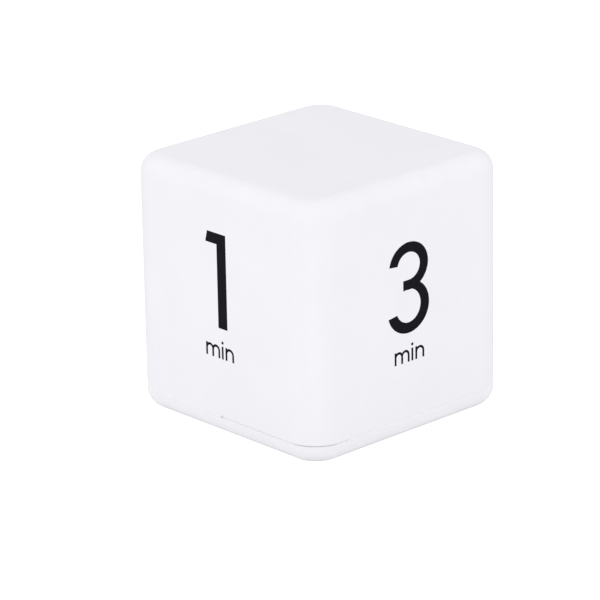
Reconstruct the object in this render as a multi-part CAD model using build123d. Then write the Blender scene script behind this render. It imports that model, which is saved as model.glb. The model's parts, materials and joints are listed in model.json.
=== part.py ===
from build123d import *
import os
from math import cos, pi, sin, sqrt, tan, radians

os.makedirs("parts", exist_ok=True)

# Cube timer. Millimetres, +Z up, origin at the middle of the face it stands on.
# The front face (-Y) carries the 1, the right face (+X) the 3, the back the 5, the left face the 10.

# Cube
side = 67.0
wall = 2.2
corner_r = 8.5
rim_r = 5.0
cover_h = 5.5
over = 1.0
half = side / 2
inner_half = half - wall

# Seam between shell and cover, with the pry notch in the middle of the front
seam_gap = 0.14
seam_depth = 0.3
tongue_gap = 0.15
tongue_wall = 1.2
tongue_h = 1.5
notch_w = 0.9
notch_h = 0.6
notch_d = 0.3
notch_u = 0.15
tongue_half = inner_half - tongue_gap
tongue_inner = tongue_half - tongue_wall
tongue_top = cover_h + tongue_h

# Cover screws and the columns that they join
screw_inset = 10.0
tower_r = 4.0
boss_r = 3.4
boss_h = 15.0
boss_rib = 1.2
rib_rise = 5.0
screw_r = 1.25
screw_head_r = 2.6
screw_head_h = 1.8
screw_len = 10.0
screw_web = 1.6
screw_head_gap = 0.3
screw_hole_gap = 0.25
thread_gap = 0.05
pilot_spare = 1.5
thread_spare = 0.5
cross_w = 0.7
cross_len = 2.8
cross_d = 1.0
cross_spare = 0.4
screw_xy = half - screw_inset
screw_web_z = tongue_top - screw_web
boss_top = tongue_top + boss_h

# Cells, size AAA
cell_r = 5.25
cell_len = 44.5
nub_r = 1.9
nub_h = 0.8
cell_edge_r = 0.4
cell_gap = 0.6
cell_room = 0.15
cell_side_room = 0.3
cell_rise = 1.1
cell_y = cell_r + cell_gap / 2

# Contacts and springs
contact_t = 0.4
contact_w = 8.4
contact_low = 0.6
dimple_r = 2.0
dimple_h = 0.8
solder_tab_w = 2.5
solder_tab_h = 1.8
slot_gap = 0.2
spring_room = 4.5
spring_wire = 0.6
spring_r = 2.7
spring_turns = 3
spring_seat = 0.05

# Battery tray, with the frame on the cover that it stands on
bay_frame_h = 3.6
bay_frame_margin = 3.9
tray_wall = 1.2
tray_ridge_w = 1.6
tray_ridge_h = 1.6
flange_w = 2.6
flange_t = 1.2
flange_len = 40.0
stake_r = 0.6
stake_gap = 0.1
stake_head_r = 1.0
stake_head_h = 0.6
stake_inset = 4.0
stake_bite = 0.6
bay_x = (cell_len + spring_room + dimple_h + 2 * contact_t) / 2
bay_y = cell_y + cell_r + cell_side_room
frame_y = bay_y + bay_frame_margin
tray_x = bay_x + tray_wall
tray_y = bay_y + tray_wall
stake_x = flange_len / 2 - stake_inset
stake_y = tray_y + flange_w / 2
stake_head_z = bay_frame_h + flange_t
stake_top = stake_head_z + stake_head_h

# Battery door: it slides out over the left edge, then drops out of its notches
door_t = 2.0
door_sink = 0.25
door_gap = 0.15
door_lap = 0.9
door_end_lap = 1.7
door_travel = 8.0
door_tab_len = 6.0
door_tab_w = 1.2
door_tab_t = 1.0
door_tab_spare = 0.6
door_tab_first = -12.0
door_tab_pitch = 26.0
grip_count = 5
grip_pitch = 1.8
grip_w = 0.8
grip_d = 0.35
grip_len = 12.0
grip_edge = 0.05
grip_x = -17.0
arrow_len = 5.0
arrow_w = 6.0
arrow_x = -7.0
door_y = bay_y + door_lap
door_end = bay_x + door_end_lap
door_top = door_sink + door_t
channel_top = door_top + door_gap
cell_z = door_top + cell_rise + cell_r
tray_inner_top = cell_z + cell_r + cell_room
tray_top = tray_inner_top + tray_wall

# Display: window, glass, frame and rubber contact strip
window_t = 1.0
window_r = 1.5
window_sink = 0.3
window_gap = 0.15
window_inset = 0.5
view_inset = 2.0
view_inset_y = 1.7
glass_h = 12.0
glass_t = 1.1
glass_ledge = 2.8
reflector_t = 0.25
reflector_inset = 0.5
display_gap = 0.15
display_wall = 0.9
strip_inset = 1.0
column_gap = 0.95
strip_t = 1.8
glass_w = 2 * (screw_xy - tower_r - column_gap - display_wall - display_gap)
window_w = glass_w - 2 * window_inset
window_h = glass_h
view_w = window_w - 2 * view_inset
view_h = window_h - 2 * view_inset_y
strip_w = glass_w - 2 * strip_inset
glass_low = frame_y + display_gap + display_wall + display_gap
glass_high = glass_low + glass_h
window_y = glass_low + glass_h / 2
strip_y = glass_high - glass_ledge / 2
rear_glass_top = wall + 2 * glass_t

# Circuit board, its posts and screws
board_t = 1.6
board_z = 7.4
board_side_gap = 0.55
board_core_margin = 0.35
board_wing = 5.7
board_edge_gap = 0.3
tower_cut_gap = 0.5
post_r = 1.9
post_side_gap = 1.05
post_gap = 0.5
board_screw_r = 0.8
board_screw_head_r = 1.6
board_screw_head_h = 1.0
board_screw_len = 5.0
board_hole_gap = 0.2
board_low = frame_y + board_edge_gap
board_half_w = tongue_inner - board_side_gap
board_high = board_half_w
board_wing_high = board_low + board_wing
board_core_half = glass_w / 2 + display_gap + display_wall + board_core_margin
post_x = tongue_inner - post_side_gap - post_r
post_y = frame_y + post_gap + post_r
board_top = board_z + board_t

# Chip, crystal and small components on the board
resin_r = 3.2
resin_h = 1.4
resin_edge = 0.2
resin_step = 3.7
crystal_r = 1.0
crystal_len = 6.0
crystal_x = 5.9
crystal_step = 1.7
crystal_pin_r = 0.2
crystal_pin_len = 1.2
crystal_lift = 0.05
chip_part_l = 1.6
chip_part_w = 0.8
chip_part_h = 0.6
chip_part_count = 3
chip_part_pitch = 1.8
chip_part_starts = (19.6, -12.4)
chip_part_step = 1.3
capacitor_r = 1.6
capacitor_h = 3.6
capacitor_edge = 0.3
capacitor_x = -5.6
capacitor_step = 10.1

# Ball tilt switches
tilt_box = 5.0
tilt_len = 8.0
tilt_bore_r = 1.65
tilt_edge = 0.5
tilt_plug_len = 1.3
tilt_plug_gap = 0.03
tilt_pin_r = 0.25
tilt_pin_len = 1.0
tilt_ball_gap = 0.05
tilt_ball_r = 1.5
tilt_inset = 6.4
tilt_step = 7.0
tilt_angle = 45.0
tilt_stand_step = 10.9
tilt_x = board_core_half - tilt_inset
tilt_y = board_low + tilt_step
tilt_stand_y = board_low + tilt_stand_step
tilt_room = tilt_len - 2 * tilt_plug_len
tilt_travel = tilt_room - 2 * tilt_ball_r - 2 * tilt_ball_gap

# Sounder and its holes
front_inset = 13.5
front_step = 7.0
sounder_r = 6.0
sounder_h = 7.0
sounder_wall = 0.8
sounder_hole_r = 3.6
sounder_ring_gap = 0.2
sounder_ring_wall = 0.9
sounder_ring_h = 3.0
disc_r = 4.9
disc_t = 0.2
disc_rise = 1.8
seat_w = 0.7
coil_r = 3.2
core_r = 1.0
coil_h = 2.2
coil_gap = 0.4
sounder_base_t = 1.0
sounder_pin_r = 0.3
sounder_pin_h = 0.8
sounder_pin_x = 2.5
sound_hole_r = 0.7
sound_hole_ring = 2.6
sound_hole_count = 6
front_y = -frame_y - front_step
switch_x = screw_xy - front_inset
sounder_x = -switch_x

# Slide switch: the knob sits in a hollow of the cover, so that the cube still stands flat
switch_len = 8.6
switch_w = 4.0
switch_h = 3.4
switch_wall = 0.4
switch_travel = 3.0
ear_len = 14.6
ear_t = 0.4
ear_stake_x = 5.9
ear_stake_h = 1.6
terminal_w = 0.8
terminal_t = 0.3
terminal_h = 1.6
terminal_pitch = 2.5
hollow_len = 17.0
hollow_w = 5.6
hollow_d = 1.0
hollow_r = 1.2
knob_len = 3.0
knob_w = 2.4
knob_sink = 0.3
knob_edge = 0.3
knob_gap = 0.2
knob_grip_d = 0.3
knob_grip_w = 0.4
knob_grip_pitch = 0.8
neck_len = 2.0
neck_w = 1.2
slider_len = 3.2
slider_w = 2.6
slider_t = 0.8
slider_rise = 0.9

# Leads
lead_r = 0.6
lead_bend_share = 0.45
lead_crest = 9.0
pad_gap = 0.3
pad_pitch = 2.25

# Printed numerals: u runs to the right on a face. A rise or a drop is counted from the face's middle
ink_t = 0.05
one_u = -0.82
three_u = -1.05
hidden_u = -0.9
one_drop = 4.7
one_rise = 19.85
one_stem = 3.3
one_flag = 2.88
one_reach = 7.35
one_slant = 0.7
arm_rise = 6.55
arm_t = 2.35
arm_left = -2.1
upper_bowl = (6.65, 6.15, 3.8, 3.55)
lower_bowl = (7.1, 6.75, 4.15, 4.3)
bowl_slip = 0.35
lower_lift = 0.3
upper_end_rise = 12.4
upper_end_lean = 0.28
lower_end_drop = 0.75
lower_end_lean = 0.42
five_drop = 5.2
five_rise = 18.8
five_bowl = (7.1, 7.9, 4.2, 5.4)
five_bar = 2.6
five_stem = 2.9
five_left = -5.9
five_right = 5.6
five_stem_rise = 6.8
five_cut = -3.2
five_end_rise = 0.5
zero_ring = (7.2, 12.2, 4.3, 9.5)
zero_u = 6.6
ten_one_u = -8.4
word_stroke = 0.65
word_x_height = 3.35
word_drop = 13.1
word_m_pitch = 2.25
word_i_step = 1.28
word_n_step = 1.35
word_n_pitch = 2.45
word_dot_r = 0.4
word_dot_rise = 4.3
word_one_drop = 12.65
word_one_u = -0.1
word_three_drop = 13.3
word_three_u = -1.2


# Plain shapes
def block(x0, x1, y0, y1, z0, z1):
    centre = Pos((x0 + x1) / 2, (y0 + y1) / 2, (z0 + z1) / 2)
    return centre * Box(x1 - x0, y1 - y0, z1 - z0)


def slab(x, y, length, width, z0, z1):
    return Pos(x, y, (z0 + z1) / 2) * Box(length, width, z1 - z0)


def rod(x, y, z0, z1, radius):
    return Pos(x, y, z0) * extrude(Circle(radius), z1 - z0)


def rod_x(x0, x1, y, z, radius):
    return Plane(origin=(x0, y, z), z_dir=(1, 0, 0)) * extrude(Circle(radius), x1 - x0)


def rounded_block(half_size, radius, z0, z1):
    return Pos(0, 0, z0) * extrude(RectangleRounded(2 * half_size, 2 * half_size, radius), z1 - z0)


def rounded_plate(x, y, length, width, radius, z0, z1):
    return Pos(x, y, z0) * extrude(RectangleRounded(length, width, radius), z1 - z0)


def corners(x, y):
    return [(sx * x, sy * y) for sx in (-1, 1) for sy in (-1, 1)]


def save(name, *shapes):
    solids = [solid for shape in shapes for solid in shape.solids()]
    whole = solids[0] if len(solids) == 1 else Compound(solids)
    export_step(whole, "parts/" + name + ".step")


# Cube form shared by the shell, the cover and the nose of the battery door
def cube_body():
    body = rounded_block(half, corner_r, 0, side)
    ends = body.edges().group_by(Axis.Z)
    return fillet(ends[0] + ends[-1], rim_r)


def screw(x, y, z0, shank_r, length, head_r, head_h, up):
    sign = 1 if up else -1
    shank = rod(x, y, min(z0, z0 + sign * length), max(z0, z0 + sign * length), shank_r)
    head_end = z0 - sign * head_h
    head = rod(x, y, min(z0, head_end), max(z0, head_end), head_r)
    cross_end = head_end + sign * min(cross_d, head_h - cross_spare)
    low, high = sorted((head_end - sign * over, cross_end))
    reach = min(cross_len, 2 * head_r - cross_spare) / 2
    arm = cross_w / 2
    head -= block(x - reach, x + reach, y - arm, y + arm, low, high)
    head -= block(x - arm, x + arm, y - reach, y + reach, low, high)
    return shank + head


# White five-sided shell
def main_shell(prints):
    cavity = rounded_block(inner_half, corner_r - wall, -over, side - wall)
    cavity = fillet(cavity.edges().group_by(Axis.Z)[-1], rim_r - wall)
    shell = cube_body() - cavity
    shell -= block(-side, side, -side, side, -over, cover_h)
    for x, y in corners(screw_xy, screw_xy):
        shell += rod(x, y, tongue_top, boss_top, boss_r)
        rib_low = tongue_top + rib_rise
        wall_mid = inner_half + wall / 2
        side_x = sorted((x, wall_mid if x > 0 else -wall_mid))
        side_y = sorted((y, wall_mid if y > 0 else -wall_mid))
        arm = boss_rib / 2
        shell += block(side_x[0], side_x[1], y - arm, y + arm, rib_low, boss_top)
        shell += block(x - arm, x + arm, side_y[0], side_y[1], rib_low, boss_top)
    for x, y in corners(screw_xy, screw_xy):
        shell -= rod(x, y, tongue_top - over, screw_web_z + screw_len + pilot_spare, screw_r + thread_gap)
    for faces in prints.values():
        for face in faces:
            shell -= extrude(face, ink_t + over)
    return shell - pry_notch()


def pry_notch():
    reach = notch_h / 2
    return slab(notch_u, -half, notch_w, 2 * notch_d, cover_h - reach, cover_h + reach)


# Battery door: a flat slide with four tabs and a nose that follows the cube's rounded edge
def tab_places():
    return [door_tab_first + i * door_tab_pitch for i in range(2)]


def battery_door():
    door = block(-side, door_end, -door_y, door_y, door_sink, door_top) & cube_body()
    for x in tab_places():
        reach = door_y + door_tab_w
        door += slab(x, 0, door_tab_len, 2 * reach, door_top - door_tab_t, door_top)
    grip_top = door_sink + grip_d
    for i in range(grip_count):
        x = grip_x - i * grip_pitch
        door -= rounded_plate(x, 0, grip_w, grip_len, grip_w / 2 - grip_edge, door_sink - over, grip_top)
    arrow = Polygon((arrow_x, -arrow_w / 2), (arrow_x, arrow_w / 2), (arrow_x - arrow_len, 0), align=None)
    return door - Pos(0, 0, door_sink - over) * extrude(arrow, over + grip_d)


def door_channel():
    reach = door_y + door_gap
    channel = block(-side, door_end + door_gap, -reach, reach, -over, channel_top)
    groove_y = door_y + door_tab_w + door_gap
    for x in tab_places():
        free = x - door_travel
        drop = (door_tab_len + door_tab_spare) / 2
        groove_low = door_top - door_tab_t - door_gap
        channel += block(free - drop, x + drop, -groove_y, groove_y, groove_low, channel_top)
        channel += block(free - drop, free + drop, -groove_y, groove_y, -over, channel_top)
    return channel


# White base cover, which carries everything inside
def base_cover():
    cover = cube_body() - block(-side, side, -side, side, cover_h, side + over)
    cover += rounded_block(tongue_half, corner_r - wall - tongue_gap, wall, tongue_top)
    cover -= rounded_block(tongue_inner, corner_r - wall - tongue_gap - tongue_wall, wall, side)
    seam = rounded_block(side, corner_r, cover_h - seam_gap, cover_h + over)
    seam -= rounded_block(half - seam_depth, corner_r - seam_depth, 0, side)
    cover -= seam
    cover += block(-tongue_inner, tongue_inner, -frame_y, frame_y, wall / 2, bay_frame_h)
    cover += cover_columns()
    cover -= block(-bay_x, bay_x, -bay_y, bay_y, -over, bay_frame_h + over)
    cover -= door_channel()
    cover -= cover_holes()
    return cover - pry_notch()


def cover_columns():
    columns = [rod(x, y, wall / 2, tongue_top, tower_r) for x, y in corners(screw_xy, screw_xy)]
    columns += [rod(x, post_y, wall / 2, board_z, post_r) for x in (-post_x, post_x)]
    for x, y in corners(stake_x, stake_y):
        columns.append(rod(x, y, bay_frame_h - stake_bite, stake_top, stake_r))
        columns.append(rod(x, y, stake_head_z, stake_top, stake_head_r))
    ring_r = sounder_r + sounder_ring_gap
    ring = rod(sounder_x, front_y, wall / 2, wall + sounder_ring_h, ring_r + sounder_ring_wall)
    columns.append(ring - rod(sounder_x, front_y, wall, side, ring_r))
    for x in (-ear_stake_x, ear_stake_x):
        columns.append(rod(switch_x + x, front_y, wall / 2, wall + ear_stake_h, stake_r))
        ear_top = wall + ear_t
        columns.append(rod(switch_x + x, front_y, ear_top, ear_top + stake_head_h, stake_head_r))
    return columns


def cover_holes():
    holes = []
    for x, y in corners(screw_xy, screw_xy):
        holes.append(rod(x, y, -over, screw_web_z, screw_head_r + screw_head_gap))
        holes.append(rod(x, y, 0, tongue_top + over, screw_r + screw_hole_gap))
    for x in (-post_x, post_x):
        pilot_low = board_top - board_screw_len - thread_spare
        holes.append(rod(x, post_y, pilot_low, board_z + over, board_screw_r + thread_gap))
    grow = 2 * window_gap
    rebate_top = window_sink + window_t
    holes.append(rounded_plate(0, window_y, window_w + grow, window_h + grow, window_r, -over, rebate_top))
    holes.append(rounded_plate(0, window_y, view_w, view_h, window_r, 0, wall + over))
    holes.append(rounded_plate(switch_x, front_y, hollow_len, hollow_w, hollow_r, -over, hollow_d))
    slot_len = knob_len + switch_travel + 2 * knob_gap
    slot_w = knob_w + 2 * knob_gap
    holes.append(slab(switch_x, front_y, slot_len, slot_w, 0, wall + over))
    holes.append(rod(sounder_x, front_y, -over, wall + over, sound_hole_r))
    for i in range(sound_hole_count):
        turn = 2 * pi * i / sound_hole_count
        x = sounder_x + sound_hole_ring * cos(turn)
        y = front_y + sound_hole_ring * sin(turn)
        holes.append(rod(x, y, -over, wall + over, sound_hole_r))
    return holes


# Battery tray: a lid over the bay, held by four melted stakes
def battery_tray():
    tray = block(-tray_x, tray_x, -tray_y, tray_y, bay_frame_h, tray_top)
    flange_y = tray_y + flange_w
    tray += block(-flange_len / 2, flange_len / 2, -flange_y, flange_y, bay_frame_h, stake_head_z)
    tray -= block(-bay_x, bay_x, -bay_y, bay_y, bay_frame_h - over, tray_inner_top)
    ridge_y = tray_ridge_w / 2
    ridge_x = bay_x - spring_room - contact_t
    tray += block(-ridge_x, ridge_x, -ridge_y, ridge_y, tray_inner_top - tray_ridge_h, tray_top)
    for x, y in corners(stake_x, stake_y):
        tray -= rod(x, y, bay_frame_h - over, tray_top, stake_r + stake_gap)
    for y in (-cell_y, cell_y):
        tray -= tab_slot(y)
    return tray


def tab_slot(y):
    depth = contact_t + slot_gap
    width = solder_tab_w + 2 * slot_gap
    return slab(bay_x - depth / 2, y, depth, width, tray_inner_top - over, tray_top + over)


# Metal contacts. The flat and the sprung one have a solder tab that stands out of the tray
def contact_plate(y0, y1, x0):
    return block(x0, x0 + contact_t, y0, y1, bay_frame_h + contact_low, tray_inner_top)


def solder_tab(y):
    top = tray_top + solder_tab_h
    return slab(bay_x - contact_t / 2, y, contact_t, solder_tab_w, tray_inner_top - over, top)


def positive_contact():
    plate = contact_plate(-cell_y - contact_w / 2, -cell_y + contact_w / 2, bay_x - contact_t)
    dimple = rod_x(bay_x - contact_t - dimple_h, bay_x - contact_t, -cell_y, cell_z, dimple_r)
    return plate + solder_tab(-cell_y) + dimple


def negative_contact():
    plate = contact_plate(cell_y - contact_w / 2, cell_y + contact_w / 2, bay_x - contact_t)
    return plate + solder_tab(cell_y)


def bridge_contact():
    plate = contact_plate(-cell_y - contact_w / 2, cell_y + contact_w / 2, -bay_x)
    return plate + rod_x(-bay_x + contact_t, -bay_x + contact_t + dimple_h, cell_y, cell_z, dimple_r)


# Pressed coil spring along X: quarter turns, each of two tangent arcs
def coil_points(x0, pitch, y, hand):
    points = []
    for i in range(4 * spring_turns + 1):
        turn = pi * i / 2
        place = Vector(x0 + pitch * i / 4, y + spring_r * cos(turn), cell_z + hand * spring_r * sin(turn))
        around = 2 * pi * spring_r
        heading = Vector(pitch, -around * sin(turn), hand * around * cos(turn)).normalized()
        points.append((place, heading))
    return points


def biarc(start, end):
    p0, t0 = start
    p1, t1 = end
    gap = p1 - p0
    bend = 2 * (1 - t0.dot(t1))
    along = gap.dot(t0 + t1)
    reach = (sqrt(along * along + bend * gap.dot(gap)) - along) / bend
    c0 = p0 + t0 * reach
    c1 = p1 - t1 * reach
    middle = (c0 + c1) / 2
    return [TangentArc(p0, middle, tangent=t0), TangentArc(middle, p1, tangent=(c1 - c0).normalized())]


def coil_spring(x0, x1, y):
    low = x0 + spring_wire / 2 + spring_seat
    high = x1 - spring_wire / 2 - spring_seat
    pitch = (high - low) / spring_turns
    points = coil_points(low, pitch, y, 1)
    gaps = [(points[i + 4][0] - points[i][0]).length - spring_wire for i in range(len(points) - 4)]
    print("least gap between the spring's turns, mm:", round(min(gaps), 3))
    arcs = [arc for i in range(len(points) - 1) for arc in biarc(points[i], points[i + 1])]
    section = Plane(origin=points[0][0], z_dir=points[0][1]) * Circle(spring_wire / 2)
    return sweep(section, path=Wire(arcs))


def cell(y, towards):
    body_end = bay_x - contact_t - dimple_h - nub_h
    start = body_end - (cell_len - nub_h)
    low, high = sorted((towards * body_end, towards * start))
    can = rod_x(low, high, y, cell_z, cell_r)
    can = fillet(can.edges().filter_by(GeomType.CIRCLE), cell_edge_r)
    nub = sorted((towards * body_end, towards * (body_end + nub_h)))
    return can + rod_x(nub[0], nub[1], y, cell_z, nub_r)


# Display stack, seen through the window in the cover
def display_window():
    top = window_sink + window_t
    return rounded_plate(0, window_y, window_w, window_h, window_r - window_gap, window_sink, top)


def display_front_glass():
    return block(-glass_w / 2, glass_w / 2, glass_low, glass_high, wall, wall + glass_t)


def display_rear_glass():
    x = glass_w / 2
    return block(-x, x, glass_low, glass_high - glass_ledge, wall + glass_t, rear_glass_top)


def display_reflector():
    x = glass_w / 2 - reflector_inset
    low = glass_low + reflector_inset
    high = glass_high - glass_ledge - reflector_inset
    return block(-x, x, low, high, rear_glass_top, rear_glass_top + reflector_t)


def display_frame():
    x = glass_w / 2 + display_gap
    wall_x = x + display_wall
    low = glass_low - display_gap
    high = glass_high + display_gap
    frame = block(-wall_x, wall_x, low - display_wall, high + display_wall, wall, board_z)
    frame -= block(-x, x, low, high, wall - over, rear_glass_top + reflector_t + display_gap)
    spare = 2 * display_gap
    return frame - slab(0, strip_y, strip_w + spare, strip_t + spare, wall, board_z + over)


def contact_strip():
    return slab(0, strip_y, strip_w, strip_t, wall + glass_t, board_z)


# Circuit board and what is soldered to it
def circuit_board():
    board = block(-board_core_half, board_core_half, board_low, board_high, board_z, board_top)
    board += block(-board_half_w, board_half_w, board_low, board_wing_high, board_z, board_top)
    for x in (-screw_xy, screw_xy):
        board -= rod(x, screw_xy, board_z - over, board_top + over, tower_r + tower_cut_gap)
    for x in (-post_x, post_x):
        board -= rod(x, post_y, board_z - over, board_top + over, board_screw_r + board_hole_gap)
    return board


def chip_resin():
    base = rod(0, board_low + resin_step, board_top, board_top + resin_h, resin_r)
    return fillet(base.edges().group_by(Axis.Z)[-1], resin_h - resin_edge)


def crystal():
    y = board_low + crystal_step
    z = board_top + crystal_lift + crystal_r
    can = Plane(origin=(crystal_x, y, z), z_dir=(0, 1, 0)) * extrude(Circle(crystal_r), crystal_len)
    for x in (-crystal_r / 2, crystal_r / 2):
        pin_plane = Plane(origin=(crystal_x + x, y - crystal_pin_len, z), z_dir=(0, 1, 0))
        can += pin_plane * extrude(Circle(crystal_pin_r), crystal_pin_len)
    return can


def chip_parts():
    parts = []
    y = board_low + chip_part_step
    for start in chip_part_starts:
        for i in range(chip_part_count):
            x = start + i * chip_part_pitch
            parts.append(slab(x, y, chip_part_w, chip_part_l, board_top, board_top + chip_part_h))
    return parts


def capacitor():
    can = rod(capacitor_x, board_low + capacitor_step, board_top, board_top + capacitor_h, capacitor_r)
    return fillet(can.edges().group_by(Axis.Z)[-1], capacitor_edge)


# Ball tilt switches: a bored plastic block, a metal plug with a pin in each end, a steel ball between
def tilt_parts(place, lying):
    case = Box(tilt_len, tilt_box, tilt_box)
    case = chamfer(case.edges().filter_by(Axis.X), tilt_edge)
    case -= Rot(0, 90, 0) * Cylinder(tilt_bore_r, tilt_len + over)
    plug = Rot(0, 90, 0) * Cylinder(tilt_bore_r - tilt_plug_gap, tilt_plug_len)
    pin = Rot(0, 90, 0) * Cylinder(tilt_pin_r, tilt_pin_len)
    plugs = []
    leg = Box(2 * tilt_pin_r, 2 * tilt_pin_r, tilt_box / 2)
    for end in (-1, 1):
        contact = Pos(end * (tilt_len - tilt_plug_len) / 2, 0, 0) * plug
        contact += Pos(end * (tilt_len + tilt_pin_len) / 2, 0, 0) * pin
        if lying:
            contact += Pos(end * (tilt_len / 2 + tilt_pin_len - tilt_pin_r), 0, -tilt_box / 4) * leg
        plugs.append(contact)
    ball = Pos(-tilt_travel / 2, 0, 0) * Sphere(tilt_ball_r)
    return place * case, [place * p for p in plugs], place * ball


def tilt_places():
    lying_z = board_top + tilt_box / 2
    standing = Pos(0, tilt_stand_y, board_top + tilt_pin_len + tilt_len / 2) * Rot(0, -90, 0)
    return {
        "a": Pos(-tilt_x, tilt_y, lying_z) * Rot(0, 0, tilt_angle),
        "b": Pos(tilt_x, tilt_y, lying_z) * Rot(0, 0, -tilt_angle),
        "c": standing,
    }


# Sounder: a cup with a hole over the cover's sound holes, a thin steel disc and a coil
def sounder_case():
    top = wall + sounder_h
    case = rod(sounder_x, front_y, wall, top, sounder_r)
    case -= rod(sounder_x, front_y, wall + disc_rise, top + over, sounder_r - sounder_wall)
    case -= rod(sounder_x, front_y, wall + sounder_wall, top, disc_r - seat_w)
    return case - rod(sounder_x, front_y, 0, top, sounder_hole_r)


def sounder_disc():
    low = wall + disc_rise
    return rod(sounder_x, front_y, low, low + disc_t, disc_r)


def sounder_coil():
    low = wall + disc_rise + disc_t + coil_gap
    base_z = wall + sounder_h - sounder_base_t
    core = rod(sounder_x, front_y, low, base_z, core_r)
    return core + rod(sounder_x, front_y, base_z - coil_h, base_z, coil_r)


def sounder_base():
    top = wall + sounder_h
    base = rod(sounder_x, front_y, top - sounder_base_t, top, sounder_r - sounder_wall - thread_gap)
    for x in (-sounder_pin_x, sounder_pin_x):
        base += rod(sounder_x + x, front_y, top, top + sounder_pin_h, sounder_pin_r)
    return base


# Slide switch and its knob
def switch_housing():
    top = wall + switch_h
    floor = wall + switch_wall
    walls = 2 * switch_wall
    housing = slab(switch_x, front_y, switch_len, switch_w, wall, top)
    housing += slab(switch_x, front_y, ear_len, switch_w, wall, wall + ear_t)
    housing -= slab(switch_x, front_y, switch_len - walls, switch_w - walls, floor, top - switch_wall)
    neck_slot = neck_len + switch_travel + 2 * knob_gap
    housing -= slab(switch_x, front_y, neck_slot, neck_w + 2 * knob_gap, 0, floor + over)
    for stake in (-ear_stake_x, ear_stake_x):
        housing -= rod(switch_x + stake, front_y, 0, top, stake_r + stake_gap)
    return housing


def switch_terminals():
    top = wall + switch_h
    pins = []
    for i in (-1, 0, 1):
        x = switch_x + i * terminal_pitch
        pins.append(slab(x, front_y, terminal_w, terminal_t, top, top + terminal_h))
    return pins


def switch_knob():
    x = switch_x - switch_travel / 2
    grip_top = wall - knob_gap
    knob = slab(x, front_y, knob_len, knob_w, knob_sink, grip_top)
    knob = chamfer(knob.edges().group_by(Axis.Z)[0], knob_edge)
    for i in (-1, 0, 1):
        groove_x = x + i * knob_grip_pitch
        knob -= slab(groove_x, front_y, knob_grip_w, 2 * knob_w, 0, knob_sink + knob_grip_d)
    slider_z = wall + slider_rise
    knob += slab(x, front_y, neck_len, neck_w, knob_sink + knob_edge + knob_grip_d, slider_z)
    return knob + slab(x, front_y, slider_len, slider_w, slider_z, slider_z + slider_t)


# Leads: straight runs joined by arcs as large as the runs allow
def lead(name, start, end, via_shares):
    way = end - start
    points = [start]
    for share_x, share_y, share_z in via_shares:
        z = tray_top + share_z * lead_crest
        points.append(Vector(start.X + share_x * way.X, start.Y + share_y * way.Y, z))
    points.append(end)
    radii = []
    for i in range(1, len(points) - 1):
        before = points[i] - points[i - 1]
        after = points[i + 1] - points[i]
        turn = radians(before.get_angle(after))
        radii.append(lead_bend_share * min(before.length, after.length) / tan(turn / 2))
    path = FilletPolyline(*points, radius=radii)
    print(name, "length", round(path.length, 1), "bend radii", [round(r, 1) for r in radii])
    section = Plane(origin=points[0], z_dir=points[1] - points[0]) * Circle(lead_r)
    save(name, sweep(section, path=path))


# Numerals as thin films of ink. A ring is half width, half height, and the same for its hole
def ring(u, z, sizes, lift=0):
    return Pos(u, z) * Ellipse(sizes[0], sizes[1]) - Pos(u, z + lift) * Ellipse(sizes[2], sizes[3])


def patch(u0, u1, z0, z1):
    return Pos((u0 + u1) / 2, (z0 + z1) / 2) * Rectangle(u1 - u0, z1 - z0)


def numeral_one(right):
    left = right - one_stem
    tip = right - one_reach
    outline = [
        (tip + one_slant, one_rise),
        (tip, one_rise - one_flag),
        (left, one_rise - one_flag),
        (left, -one_drop),
        (right, -one_drop),
        (right, one_rise),
    ]
    return Polygon(*outline, align=None)


def open_end(bowl, level, lean, far):
    slope = lean / (bowl[0] - bowl[2])
    left = (-half, level + slope * (bowl[0] - half))
    right = (arm_left, level + slope * (bowl[0] + arm_left))
    sides = [left, right, (arm_left, far), (-half, far)]
    return Polygon(*(sides if far > level else sides[::-1]), align=None)


def numeral_three():
    arm_low = arm_rise - arm_t / 2
    upper_z = arm_low + upper_bowl[1]
    lower_z = arm_low + arm_t - lower_bowl[1]
    upper = ring(-bowl_slip / 2, upper_z, upper_bowl)
    upper -= open_end(upper_bowl, upper_end_rise, -upper_end_lean, -half)
    upper -= patch(arm_left, -bowl_slip / 2, upper_z - upper_bowl[3], upper_z)
    lower = ring(-bowl_slip, lower_z, lower_bowl, lower_lift)
    lower -= open_end(lower_bowl, -lower_end_drop, lower_end_lean, half)
    lower -= patch(arm_left, -bowl_slip, -lower_end_drop, arm_low)
    return upper + lower


def numeral_five():
    bowl_z = five_bowl[1] - five_drop
    bowl = ring(0, bowl_z, five_bowl) - patch(-half, five_cut, five_end_rise, half)
    stem = patch(five_left, five_left + five_stem, five_stem_rise, five_rise)
    return bowl + stem + patch(five_left, five_right, five_rise - five_bar, five_rise)


def numeral_zero():
    return ring(zero_u, zero_ring[1] - five_drop, zero_ring)


def word_arch(u, pitch, base):
    outer = (pitch + word_stroke) / 2
    middle = u + pitch / 2
    top = base + word_x_height - outer
    arch = Pos(middle, top) * (Circle(outer) - Circle(outer - word_stroke))
    arch &= patch(middle - outer, middle + outer, top, top + outer)
    return arch + patch(u + pitch - word_stroke / 2, u + pitch + word_stroke / 2, base, top)


def word_stem(u, base):
    return patch(u - word_stroke / 2, u + word_stroke / 2, base, base + word_x_height)


def word_min(middle, base):
    m = middle - word_m_pitch - (word_i_step + word_n_step + word_n_pitch) / 2
    i = m + 2 * word_m_pitch + word_i_step
    n = i + word_n_step
    letter_m = word_stem(m, base) + word_arch(m, word_m_pitch, base)
    letter_m += word_arch(m + word_m_pitch, word_m_pitch, base)
    letter_i = word_stem(i, base) + Pos(i, base + word_dot_rise) * Circle(word_dot_r)
    letter_n = word_stem(n, base) + word_arch(n, word_n_pitch, base)
    return [letter_m, letter_i, letter_n]


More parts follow.
